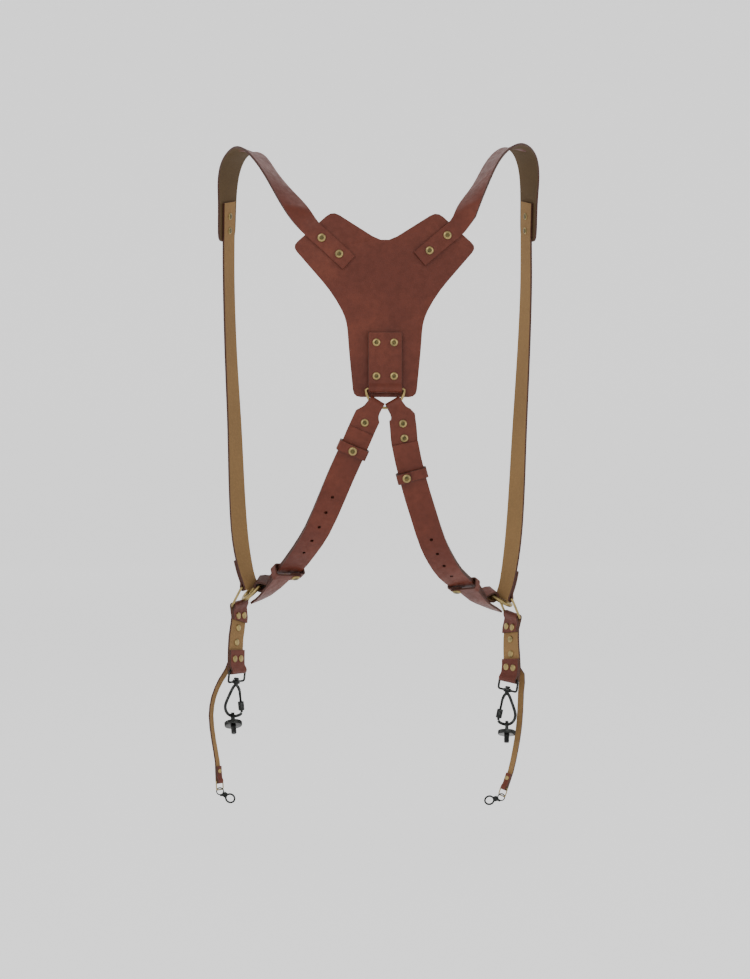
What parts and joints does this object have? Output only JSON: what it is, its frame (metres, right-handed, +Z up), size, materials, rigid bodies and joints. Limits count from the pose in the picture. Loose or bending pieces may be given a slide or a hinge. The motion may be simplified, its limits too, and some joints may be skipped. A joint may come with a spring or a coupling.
{
  "type": "dual camera harness",
  "caption": "Leather back harness as worn, with a swivel snap hook and a camera screw hanging at each hip.",
  "frame": {"origin": "where the harness sits on the shoulders, midway between the tops of the two shoulder straps", "axes": "+X to the wearer's right, +Y forward, +Z up"},
  "size_m": [0.388, 0.2275, 0.7705],
  "materials": {
    "leather": "smooth red-brown grain with a tan flesh side",
    "brass": "antique brass",
    "gunmetal": "dark grey plating"
  },
  "bodies": {
    "harness": {"shoulder_strap_l": "leather", "front_strap_l": "leather", "back_strap_l": "leather", "strap_tail_l": "leather", "upper_keeper_l": "leather", "lower_keeper_l": "leather", "drop_tab_l": "leather", "tether_l": "leather", "shoulder_strap_r": "leather", "front_strap_r": "leather", "back_strap_r": "leather", "strap_tail_r": "leather", "upper_keeper_r": "leather", "lower_keeper_r": "leather", "drop_tab_r": "leather", "tether_r": "leather", "back_yoke": "leather", "yoke_tab": "leather", "hip_loop_l": "brass", "hip_ring_l": "brass", "tether_link_l": "brass", "rivet_shoulder_l_1": "brass", "rivet_shoulder_l_2": "brass", "rivet_front_l_1": "brass", "rivet_front_l_2": "brass", "rivet_back_l_1": "brass", "rivet_upper_keeper_l": "brass", "rivet_lower_keeper_l": "brass", "hip_loop_r": "brass", "hip_ring_r": "brass", "tether_link_r": "brass", "rivet_shoulder_r_1": "brass", "rivet_shoulder_r_2": "brass", "rivet_front_r_1": "brass", "rivet_front_r_2": "brass", "rivet_back_r_1": "brass", "rivet_upper_keeper_r": "brass", "rivet_lower_keeper_r": "brass", "rivet_back_r_2": "brass", "center_ring": "brass", "rivet_yoke_tab_1": "brass", "rivet_yoke_tab_2": "brass", "rivet_yoke_tab_3": "brass", "rivet_yoke_tab_4": "brass", "swivel_eye_l": "gunmetal", "clasp_l": "gunmetal", "swivel_eye_r": "gunmetal", "clasp_r": "gunmetal"},
    "hook_l": {"carabiner_l": "gunmetal", "gate_l": "gunmetal", "screw_loop_l": "gunmetal"},
    "sleeve_l": {"lock_sleeve_l": "gunmetal"},
    "screw_l": {"camera_screw_l": "gunmetal"},
    "lever_l": {"clasp_lever_l": "gunmetal"},
    "hook_r": {"carabiner_r": "gunmetal", "gate_r": "gunmetal", "screw_loop_r": "gunmetal"},
    "sleeve_r": {"lock_sleeve_r": "gunmetal"},
    "screw_r": {"camera_screw_r": "gunmetal"},
    "lever_r": {"clasp_lever_r": "gunmetal"}
  },
  "joints": [
    {"name": "swivel_l", "type": "hinge", "parent": "harness", "child": "hook_l", "pos_m": [-0.16483, 0.02117, -0.62084], "axis": [-0.0976, 0.0762, -0.9923], "continuous": true},
    {"name": "sleeve_slide_l", "type": "slide", "parent": "hook_l", "child": "sleeve_l", "axis": [-0.0996, -0.0298, 0.9946], "range_m": [0, 0.006]},
    {"name": "screw_tilt_l", "type": "hinge", "parent": "hook_l", "child": "screw_l", "pos_m": [-0.16858, 0.01917, -0.66475], "axis": [-0.1555, 0.8773, -0.454], "range_deg": [-25, 25]},
    {"name": "lever_l", "type": "hinge", "parent": "harness", "child": "lever_l", "pos_m": [-0.17767, 0.02607, -0.75229], "axis": [0, 1, 0], "range_deg": [-12, 12], "stiffness_Nm_per_rad": 0.005},
    {"name": "swivel_r", "type": "hinge", "parent": "harness", "child": "hook_r", "pos_m": [0.15004, 0.02031, -0.63206], "axis": [-0.1485, 0.0111, -0.9889], "continuous": true},
    {"name": "sleeve_slide_r", "type": "slide", "parent": "hook_r", "child": "sleeve_r", "axis": [0.203, -0.0298, 0.9787], "range_m": [0, 0.006]},
    {"name": "screw_tilt_r", "type": "hinge", "parent": "hook_r", "child": "screw_r", "pos_m": [0.14925, 0.01861, -0.67638], "axis": [0.1634, 0.9254, -0.342], "range_deg": [-25, 25]},
    {"name": "lever_r", "type": "hinge", "parent": "harness", "child": "lever_r", "pos_m": [0.13662, 0.02616, -0.75918], "axis": [0, 1, 0], "range_deg": [-12, 12], "stiffness_Nm_per_rad": 0.005}
  ]
}
